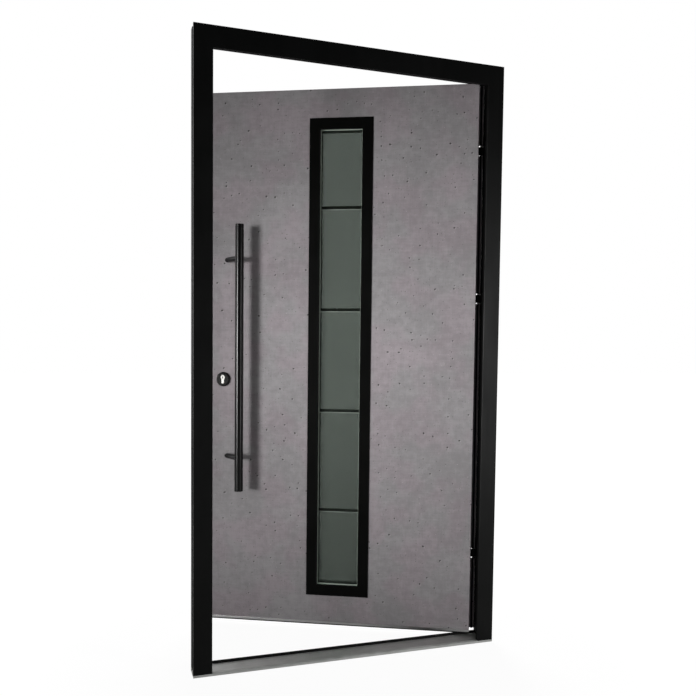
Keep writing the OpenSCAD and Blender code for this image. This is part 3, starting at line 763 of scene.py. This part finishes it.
def rounded(
    shape: bmesh.types.BMesh, edges: list[bmesh.types.BMEdge], width: float, segments: int = 1
) -> list[bmesh.types.BMFace]:
    """Ease edges of a shape.

    Args:
        shape: The shape.
        edges: Its edges that are eased.
        width: Width of the eased edges in metres.
        segments: Steps across each eased edge.

    Returns:
        The new faces along the edges.
    """
    return bmesh.ops.bevel(
        shape, geom=edges, offset=width, offset_type="OFFSET", affect="EDGES",
        segments=segments, profile=0.5, material=-1, clamp_overlap=True,
    )["faces"]


def eased(
    node: str, finish: Finishes, width: float, body: str, segments: int = 2
) -> bpy.types.Object:
    """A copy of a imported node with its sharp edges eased, standing for it.

    Args:
        node: Node name.
        finish: Its finish.
        width: Width of the eased edges in metres.
        body: The body that it rides on.
        segments: Steps across each eased edge.

    Returns:
        The piece.
    """
    shape = bmesh.new()
    shape.from_mesh(frame["nodes"][node].data)
    bmesh.ops.remove_doubles(shape, verts=shape.verts, dist=SAME_POINT)
    bmesh.ops.dissolve_limit(
        shape, angle_limit=FLAT_UNDER, verts=shape.verts, edges=shape.edges
    )
    shared = (edge for edge in shape.edges if len(edge.link_faces) == 2)
    sharp = [edge for edge in shared if edge.calc_face_angle(0.0) > SMOOTH_UNDER]
    easings = rounded(shape, sharp, width, segments)
    piece = finished(f"{node}_eased", shape, finish, body, easings)
    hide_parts(node)
    return piece


@dataclass
class ScrewHead:
    """A screw head with a six-lobed socket, facing +Z from the origin."""

    radius: float = 3.6 * MM
    rise: float = 0.55 * MM
    sunk: float = 0.3 * MM
    rim: float = 0.35 * MM
    socket: float = 1.75 * MM
    socket_depth: float = 0.5 * MM
    lobes: int = 6
    lobe_reach: float = 0.14
    segments: int = 36

    def mesh(self) -> bpy.types.Mesh:
        """The head's mesh, to be stamped many times."""
        head = bmesh.new()
        bmesh.ops.create_cone(
            head, cap_ends=True, segments=self.segments, radius1=self.radius,
            radius2=self.radius - self.rim, depth=self.rise + self.sunk,
            matrix=Matrix.Translation((0.0, 0.0, (self.rise - self.sunk) / 2)),
        )
        face = max(head.faces, key=lambda cap: cap.calc_center_median().z)
        flat = self.radius - self.rim - self.socket
        bmesh.ops.inset_individual(head, faces=[face], thickness=flat, depth=0.0)
        for vertex in face.verts:
            angle = math.atan2(vertex.co.y, vertex.co.x)
            reach = self.socket * (1.0 + self.lobe_reach * math.cos(self.lobes * angle))
            vertex.co.x, vertex.co.y = reach * math.cos(angle), reach * math.sin(angle)
        bmesh.ops.inset_individual(head, faces=[face], thickness=0.0, depth=-self.socket_depth)
        mesh = bpy.data.meshes.new("screw_head")
        head.to_mesh(mesh)
        head.free()
        return mesh


def stamped(mesh: bpy.types.Mesh, places: Iterable[Matrix]) -> bmesh.types.BMesh:
    """One shape made of a mesh set down at each place.

    Args:
        mesh: The mesh that is repeated.
        places: Where each copy goes.

    Returns:
        The joined shape.
    """
    shape = bmesh.new()
    for place in places:
        before = len(shape.verts)
        shape.from_mesh(mesh)
        shape.verts.ensure_lookup_table()
        bmesh.ops.transform(shape, matrix=place, verts=shape.verts[before:])
    return shape


def facing(at: Iterable[float], axis: str, sign: float) -> Matrix:
    """A place whose +Z points along an axis.

    Args:
        at: The point.
        axis: "X" or "Y".
        sign: 1 for the axis, -1 against it.

    Returns:
        The placement.
    """
    angle, about = (sign * QUARTER_TURN, "Y") if axis == "X" else (-sign * QUARTER_TURN, "X")
    return Matrix.Translation(Vector(at)) @ Matrix.Rotation(angle, 4, about)


def slab(shape: bmesh.types.BMesh, low: Span, high: Span, ease: float) -> None:
    """Add a flat bar with eased edges.

    Args:
        shape: The shape that it joins.
        low: Lowest corner.
        high: Highest corner.
        ease: Width of its eased edges.
    """
    size = Vector(high) - Vector(low)
    middle = (Vector(high) + Vector(low)) / 2
    place = Matrix.Translation(middle) @ Matrix.Diagonal((*size, 1.0))
    made = bmesh.ops.create_cube(shape, size=1.0, matrix=place)["verts"]
    rounded(shape, list({edge for vertex in made for edge in vertex.link_edges}), ease)


@dataclass
class OuterFrame:
    """Jambs, head, gasket and strike plates."""

    sides: tuple[str, ...] = ("left_jamb", "right_jamb", "head")
    screw_from_end: float = 12 * MM
    strike_spans: tuple[Pair, ...] = ((0.300, 0.120), (1.021, 0.230), (1.730, 0.120))

    def strike_screws(self) -> None:
        """Two screws in each strike plate, facing the opening.

        A strike span holds a plate's middle height and its length.
        """
        low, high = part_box("strike_plates")
        middle_y = (low.y + high.y) / 2
        heights = [
            height + side * (length / 2 - self.screw_from_end)
            for height, length in self.strike_spans
            for side in (-1.0, 1.0)
        ]
        places = [facing((high.x, middle_y, height), "X", 1.0) for height in heights]
        finished("strike_screws", stamped(ScrewHead().mesh(), places), Finishes.PIN, "frame")

    def build(self) -> None:
        """Dress the frame's profiles and add the strikes' screws."""
        shells = [f"{side}_{shell}" for side in self.sides for shell in ("outer", "inner")]
        dress(shells, Finishes.FRAME)
        dress([f"{side}_break" for side in self.sides], Finishes.BREAK)
        dress(["frame_gasket"], Finishes.SEAL_AND_GAP_SHADE)
        dress(["strike_plates"], Finishes.STEEL)
        self.strike_screws()


@dataclass
class Threshold:
    """Aluminium tread and black upstand."""

    ease: float = 0.4 * MM

    def build(self) -> None:
        """Ease the tread's and the upstand's edges."""
        eased("threshold_tread", Finishes.THRESHOLD, self.ease, "frame")
        eased("threshold_upstand", Finishes.SILL, self.ease, "frame")


@dataclass
class Hinges:
    """Three barrel hinges with their screws."""

    spots: tuple[str, ...] = ("top", "middle", "bottom")
    frame_screw_inset: float = 7.5 * MM
    leaf_screw_insets: Pair = (9 * MM, 23 * MM)
    screw_rise: float = 38 * MM
    plate_t: float = 4 * MM
    plate_ease: float = 0.5 * MM
    pin_ease: float = 0.4 * MM
    ring_ease: float = 0.25 * MM

    def screws(self) -> None:
        """Screws in the frame plates and in the leaf plates."""
        on_frame, on_leaf = [], []
        frame_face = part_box("right_jamb_inner")[1].y + self.plate_t
        leaf_face = LEAF.box("inner_skin")[1].y + self.plate_t
        near, far = self.leaf_screw_insets
        for spot in self.spots:
            low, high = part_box(f"{spot}_hinge_frame_part")
            foot, middle, top = (
                (low.z + high.z) / 2 + step * self.screw_rise for step in (-1, 0, 1)
            )
            x = high.x - self.frame_screw_inset
            on_frame += [(x, frame_face, z) for z in (foot, middle, top)]
            x = LEAF.box(f"{spot}_hinge_leaf_part")[0].x
            on_leaf += [(x + inset, leaf_face, z) for inset in (near, far) for z in (foot, top)]
            on_leaf.append((x + near, leaf_face, middle))
        head = ScrewHead().mesh()
        shape = stamped(head, [facing(at, "Y", 1.0) for at in on_frame])
        finished("hinge_frame_screws", shape, Finishes.SCREW, "frame")
        shape = LEAF.swung(stamped(head, [facing(at, "Y", 1.0) for at in on_leaf]))
        finished("hinge_leaf_screws", shape, Finishes.SCREW, "leaf")

    def build(self) -> None:
        """Ease the hinges' edges and add their screws."""
        for spot in self.spots:
            for body in ("frame", "leaf"):
                eased(f"{spot}_hinge_{body}_part", Finishes.HINGE, self.plate_ease, body)
        eased("hinge_pins", Finishes.PIN, self.pin_ease, "frame")
        eased("hinge_rings", Finishes.RING, self.ring_ease, "frame")
        self.screws()


@dataclass
class Leaf:
    """Skins, core, bottom bar, seals and a black band of painted shade on the lap's rim."""

    outer_fold: float = 0.65 * MM
    outer_fold_steps: int = 3
    inner_fold: float = 0.325 * MM
    bar_ease: float = 0.4 * MM
    gap_shade_t: float = 0.9 * MM
    gap_shade_inset: float = 0.2 * MM
    rim_reach: float = 0.01 * MM

    def gap_shade_band(self) -> None:
        """A thin black band on the lap's hinge-side rim, broken at the hinges: painted shade in
        the gap between leaf and frame.
        """
        inset = self.gap_shade_inset
        points = LEAF.points("inner_skin")
        edge = max(point.x for point in points)
        rim = [point for point in points if edge - point.x < self.rim_reach]
        heights = levels(rim)
        y0 = min(point.y for point in rim) + inset
        y1 = max(point.y for point in rim) - inset
        shape = bmesh.new()
        for bottom, top in zip(heights[::2], heights[1::2]):
            low = (edge - inset, y0, bottom + inset)
            slab(shape, low, (edge + self.gap_shade_t, y1, top - inset), inset)
        finished("lap_rim_gap_shade", LEAF.swung(shape), Finishes.SEAL_AND_GAP_SHADE, "leaf")

    def build(self) -> None:
        """Round the skins' folds and dress the rest."""
        eased("outer_skin", Finishes.CONCRETE, self.outer_fold, "leaf", self.outer_fold_steps)
        eased("inner_skin", Finishes.CONCRETE, self.inner_fold, "leaf")
        dress(["leaf_core"], Finishes.CORE_AND_KEYWAY_SHADE)
        dress(["leaf_seals"], Finishes.SEAL_AND_GAP_SHADE)
        eased("bottom_bar", Finishes.LEAF_BAR, self.bar_ease, "leaf")
        self.gap_shade_band()


@dataclass
class TallLight:
    """Trims, rubbers, panes, satin panels and stripes of the light."""

    line_reach: float = 2.5 * MM
    line_width: float = 5.0 * MM
    line_t: float = 0.4 * MM
    line_behind_glass: float = 0.1 * MM
    stripe_highlight_height: float = 1.1 * MM
    strip_ease: float = 0.08 * MM
    trim_ease: float = 0.7 * MM
    trim_steps: int = 3

    def stripes(self) -> None:
        """Dark stripes of painted shade between the satin panels, each with a painted highlight
        along its lower edge.
        """
        heights = levels(LEAF.points("satin_panels"))
        low, high = LEAF.box("satin_panels")
        dark, pale = bmesh.new(), bmesh.new()
        for bottom, top in zip(heights[1:-1:2], heights[2:-1:2]):
            # a painted highlight at each stripe's foot, painted shade above it
            highlight_top = bottom + self.stripe_highlight_height
            slab(dark, (low.x, low.y, highlight_top), (high.x, high.y, top), self.strip_ease)
            slab(pale, (low.x, low.y, bottom), (high.x, high.y, highlight_top), self.strip_ease)
        finished("glass_stripes_painted_shade", LEAF.swung(dark), Finishes.STRIPE_SHADE, "leaf")
        finished("glass_stripe_highlights", LEAF.swung(pale), Finishes.HIGHLIGHT_LINE, "leaf")

    def highlight_line(self) -> None:
        """A pale line of painted highlight, seen just inside the trim."""
        pane_low, pane_high = LEAF.box("outer_pane")
        middle = (pane_low + pane_high) / 2
        points = LEAF.points("outer_trim")
        in_x = min(abs(point.x - middle.x) for point in points) - self.line_reach
        in_z = min(abs(point.z - middle.z) for point in points) - self.line_reach
        out_x, out_z = in_x + self.line_width, in_z + self.line_width
        y0 = pane_high.y + self.line_behind_glass
        y1 = y0 + self.line_t
        shape = bmesh.new()
        for side in (-1.0, 1.0):
            xs = sorted(middle.x + side * x for x in (in_x, out_x))
            low, high = (xs[0], y0, middle.z - out_z), (xs[1], y1, middle.z + out_z)
            slab(shape, low, high, self.strip_ease)
            zs = sorted(middle.z + side * z for z in (in_z, out_z))
            low, high = (middle.x - in_x, y0, zs[0]), (middle.x + in_x, y1, zs[1])
            slab(shape, low, high, self.strip_ease)
        finished("glass_edge_highlight", LEAF.swung(shape), Finishes.HIGHLIGHT_LINE, "leaf")

    def build(self) -> None:
        """Dress the light."""
        for trim in ("outer_trim", "inner_trim"):
            eased(trim, Finishes.TRIM, self.trim_ease, "leaf", self.trim_steps)
        dress(["glazing_rubbers"], Finishes.SEAL_AND_GAP_SHADE)
        dress(["outer_pane", "middle_pane", "inner_pane"], Finishes.CLEAR)
        dress(["glass_spacers"], Finishes.SPACER)
        dress(["satin_panels"], Finishes.SATIN)
        self.stripes()
        self.highlight_line()


@dataclass
class Lock:
    """Faceplate, bolts, cylinder, plug and escutcheons."""

    screw_heights: tuple[float, ...] = (0.172, 0.42, 0.80, 1.19, 1.60, 1.888)
    screw_r: float = 3.4 * MM
    screw_rise: float = 0.25 * MM
    keyway_shade_r: float = 2.1 * MM
    keyway_shade_t: float = 0.3 * MM
    keyway_shade_segments: int = 32
    faceplate_ease: float = 0.3 * MM
    bolt_ease: float = 0.4 * MM
    cylinder_ease: float = 0.35 * MM
    plug_ease: float = 0.3 * MM
    escutcheon_ease: float = 0.6 * MM
    escutcheon_steps: int = 3

    def faceplate_screws(self) -> None:
        """Screws down the faceplate on the lock edge."""
        low, high = LEAF.box("lock_faceplate")
        middle = (low.y + high.y) / 2
        places = [facing((low.x, middle, height), "X", -1.0) for height in self.screw_heights]
        head = ScrewHead(radius=self.screw_r, rise=self.screw_rise)
        shape = LEAF.swung(stamped(head.mesh(), places))
        finished("faceplate_screws", shape, Finishes.PIN, "leaf")

    def keyway_shade_discs(self) -> None:
        """A dark disc of painted shade in the keyway's mouth, on both faces of the plug."""
        low, high = LEAF.box("key_plug")
        middle = (low + high) / 2
        shape = bmesh.new()
        for y, sign in ((low.y, -1.0), (high.y, 1.0)):
            bmesh.ops.create_cone(
                shape, cap_ends=True, segments=self.keyway_shade_segments,
                radius1=self.keyway_shade_r, radius2=self.keyway_shade_r, depth=self.keyway_shade_t,
                matrix=facing((middle.x, y, middle.z), "Y", sign),
            )
        finished("keyway_shade_discs", LEAF.swung(shape), Finishes.CORE_AND_KEYWAY_SHADE, "key_plug")

    def build(self) -> None:
        """Dress the lock."""
        eased("lock_faceplate", Finishes.STEEL, self.faceplate_ease, "leaf")
        eased("lock_bolts", Finishes.STEEL, self.bolt_ease, "leaf")
        eased("lock_cylinder", Finishes.NICKEL, self.cylinder_ease, "leaf")
        eased("key_plug", Finishes.NICKEL, self.plug_ease, "key_plug")
        width, steps = self.escutcheon_ease, self.escutcheon_steps
        for escutcheon in ("outer_escutcheon", "inner_escutcheon"):
            eased(escutcheon, Finishes.ESCUTCHEON, width, "leaf", steps)
        self.faceplate_screws()
        self.keyway_shade_discs()


@dataclass
class Handles:
    """Pull bar with its posts outside, lever with its rose inside."""

    nodes: tuple[str, ...] = ("pull_bar", "upper_post", "lower_post", "lever_rose", "lever")
    ease: float = 0.4 * MM

    def build(self) -> None:
        """Ease the handles' edges."""
        for node in self.nodes:
            eased(node, Finishes.HANDLE, self.ease, "leaf")


@dataclass(frozen=True)
class Lamp:
    """A lamp that the eye doesn't see: its place, its aim and its power in watts."""

    name: str
    at: Span
    towards: Span
    power: float

    def data(self) -> bpy.types.Light:
        """The lamp's own settings. Each kind of lamp gives its own."""
        raise NotImplementedError

    def hang(self) -> bpy.types.Object:
        """Put the lamp in place."""
        data = self.data()
        data.energy = self.power
        lamp = bpy.data.objects.new(self.name, data)
        aim = (Vector(self.towards) - Vector(self.at)).to_track_quat("-Z", "Y")
        lamp.matrix_world = Matrix.Translation(self.at) @ aim.to_matrix().to_4x4()
        lamp.visible_camera = False
        bpy.context.scene.collection.objects.link(lamp)
        return lamp


@dataclass(frozen=True)
class Panel(Lamp):
    """A soft rectangular lamp."""

    size: Pair

    def data(self) -> bpy.types.Light:
        """An area lamp of the panel's width and height."""
        data = bpy.data.lights.new(self.name, "AREA")
        data.shape = "RECTANGLE"
        data.size, data.size_y = self.size
        return data


@dataclass(frozen=True)
class Spot(Lamp):
    """A spot lamp that fades out towards its cone's edge and shines past the frame.

    The cone is its full angle in degrees, and the radius softens its shadows.
    """

    cone: float
    radius: float

    def data(self) -> bpy.types.Light:
        """A spot lamp with the softest edge."""
        data = bpy.data.lights.new(self.name, "SPOT")
        data.spot_size = math.radians(self.cone)
        data.spot_blend = 1.0
        data.shadow_soft_size = self.radius
        return data

    def hang(self) -> bpy.types.Object:
        """Put the lamp in place, with the frame's solids casting no shadow of it."""
        lamp = super().hang()
        passed = bpy.data.collections.new(f"{self.name}_passes")
        for node in frame["record"]["behaviour"]["bodies"]["frame"]:
            passed.objects.link(frame["nodes"][node])
        lamp.light_linking.blocker_collection = passed
        for member in passed.collection_objects:
            member.light_linking.link_state = "EXCLUDE"
        return lamp


@dataclass
class Studio:
    """Camera, lamps, world and floor."""

    camera_at: Span = (-0.83730, -2.47612, 1.07955)
    yaw: float = 0.32008
    pitch: float = -0.05285
    roll: float = 0.01115
    focal_px: float = 752.44
    image_px: float = 696.0
    sensor: float = 36.0
    shift_y: float = 0.0603
    sight: Pair = (0.05, 200.0)
    ambient: float = 0.105
    sky_ahead: float = 0.06
    sky_turn: Pair = (-0.15, 0.35)
    floor_half: float = 30.0
    floor_paint: Span = (0.8, 0.8, 0.8)
    floor_glow: float = 1.08
    floor_in_gloss: float = 0.15
    floor_near: float = 0.88
    floor_fade: Pair = (0.8, 1.9)
    lamps: tuple[Lamp, ...] = (
        Spot("key", (-4.7, -2.1, 1.1), (0.12, 0.17, 1.06), 1440.0, cone=22.9, radius=0.85),
        Panel("left_strip", (-2.62, -0.90, 1.08), (-0.35, 0.3, 1.08), 6.0, size=(0.2, 2.0)),
        Panel("fill_strip", (1.6, -2.1, 1.08), (0.0, 0.2, 1.08), 16.0, size=(0.3, 1.5)),
        Panel("back", (0.6, 2.6, 2.2), (0.0, 0.3, 1.0), 60.0, size=(1.5, 1.5)),
    )

    def camera(self) -> None:
        """Set the camera where the photograph was taken from."""
        data = bpy.data.cameras.new("photo_camera")
        data.sensor_width = self.sensor
        data.lens = self.sensor * self.focal_px / self.image_px
        data.shift_y = self.shift_y
        data.clip_start, data.clip_end = self.sight
        camera = bpy.data.objects.new("photo_camera", data)
        ahead = Vector((math.sin(self.yaw), math.cos(self.yaw), 0.0))
        right = Vector((math.cos(self.yaw), -math.sin(self.yaw), 0.0))
        up = Vector((0.0, 0.0, 1.0))
        look = ahead * math.cos(self.pitch) + up * math.sin(self.pitch)
        above = up * math.cos(self.pitch) - ahead * math.sin(self.pitch)
        side = right * math.cos(self.roll) + above * math.sin(self.roll)
        top = above * math.cos(self.roll) - right * math.sin(self.roll)
        turn = Matrix((side, top, -look)).transposed()
        camera.matrix_world = Matrix.Translation(self.camera_at) @ turn.to_4x4()
        bpy.context.scene.collection.objects.link(camera)
        bpy.context.scene.camera = camera

    def world(self) -> None:
        """White to the eye and in clear glass, dim as a source of light."""
        world = bpy.data.worlds.new("studio")
        bpy.context.scene.world = world
        world.use_nodes = True
        graph = Graph(world.node_tree)
        seen, mirrored = graph.direct(), graph.mirrored()
        way = graph.add("ShaderNodeTexCoord", output="Generated")
        depth = graph.add("ShaderNodeSeparateXYZ", inputs={0: way}, output="Y")
        behind = depth.ramp(*self.sky_turn)
        glow = mirrored * (behind * (1.0 - self.sky_ahead) + self.sky_ahead)
        rest = (1.0 - (seen + mirrored).clamped()) * self.ambient
        inputs = {"Color": WHITE, "Strength": (seen + glow).clamped() + rest}
        shader = graph.add("ShaderNodeBackground", inputs=inputs)
        graph.add("ShaderNodeOutputWorld", inputs={"Surface": shader})

    def floor(self) -> None:
        """A wide pale floor that fades into the background."""
        shape = bmesh.new()
        bmesh.ops.create_grid(shape, x_segments=1, y_segments=1, size=self.floor_half)
        mesh = bpy.data.meshes.new("floor")
        shape.to_mesh(mesh)
        shape.free()
        floor = bpy.data.objects.new("floor", mesh)
        bpy.context.scene.collection.objects.link(floor)
        material = bpy.data.materials.new("floor_white")
        material.use_nodes = True
        graph = Graph(material.node_tree)
        seen = (graph.direct() + graph.mirrored() * self.floor_in_gloss).clamped()
        length = {"operation": "LENGTH"}
        far = graph.add("ShaderNodeVectorMath", length, {0: graph.place()}, "Value")
        white = far.ramp(*self.floor_fade) * (1.0 - self.floor_near) + self.floor_near
        paint = graph.add("ShaderNodeBsdfDiffuse", inputs={"Color": self.floor_paint})
        inputs = {"Color": WHITE, "Strength": self.floor_glow}
        glow = graph.add("ShaderNodeEmission", inputs=inputs)
        mixed = graph.add("ShaderNodeMixShader", inputs={0: seen * white, 1: paint, 2: glow})
        graph.add("ShaderNodeOutputMaterial", inputs={"Surface": mixed})
        mesh.materials.append(material)

    def build(self) -> None:
        """Set up the whole studio."""
        self.camera()
        self.world()
        self.floor()
        for lamp in self.lamps:
            lamp.hang()
        bpy.context.scene.view_settings.view_transform = "Standard"


def main() -> None:
    """Build the door's looks and the studio, and log each."""
    logging.basicConfig(level=logging.INFO, format="%(name)s: %(message)s")
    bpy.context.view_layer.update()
    for part in (OuterFrame(), Threshold(), Hinges(), Leaf(), TallLight(), Lock(), Handles()):
        part.build()
        log.info("%s done", type(part).__name__)
    Studio().build()


if __name__ == "__main__":
    main()
